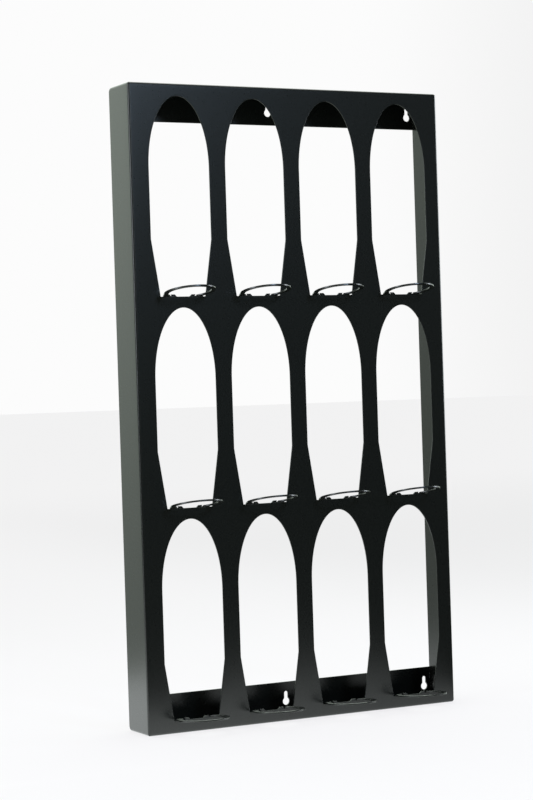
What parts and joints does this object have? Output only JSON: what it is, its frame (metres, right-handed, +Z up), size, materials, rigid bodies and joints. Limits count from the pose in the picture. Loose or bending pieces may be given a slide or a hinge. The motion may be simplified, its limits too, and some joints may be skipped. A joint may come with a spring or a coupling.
{
  "type": "wine rack",
  "caption": "Tall folded sheet-steel wall wine rack with rows of arched bays, a tilted neck-down bottle ring at the foot of each bay, and rear keyholes.",
  "frame": {"origin": "centre of the footprint of the whole rack, at the height of its lower edge", "axes": "+Z up along the rack's height, +X to the viewer's right along its width, +Y from the front sheet back towards the wall"},
  "size_m": [0.5, 0.1244, 0.905],
  "materials": {
    "black_powder_coat": "satin black powder coat"
  },
  "bodies": {
    "root": {"casing": "black_powder_coat", "bottle_ring_r1c1": "black_powder_coat", "bottle_ring_r1c2": "black_powder_coat", "bottle_ring_r1c3": "black_powder_coat", "bottle_ring_r1c4": "black_powder_coat", "bottle_ring_r2c1": "black_powder_coat", "bottle_ring_r2c2": "black_powder_coat", "bottle_ring_r2c3": "black_powder_coat", "bottle_ring_r2c4": "black_powder_coat", "bottle_ring_r3c1": "black_powder_coat", "bottle_ring_r3c2": "black_powder_coat", "bottle_ring_r3c3": "black_powder_coat", "bottle_ring_r3c4": "black_powder_coat", "ring_welds": "black_powder_coat", "corner_welds": "black_powder_coat", "strip_welds": "black_powder_coat"}
  },
  "joints": []
}
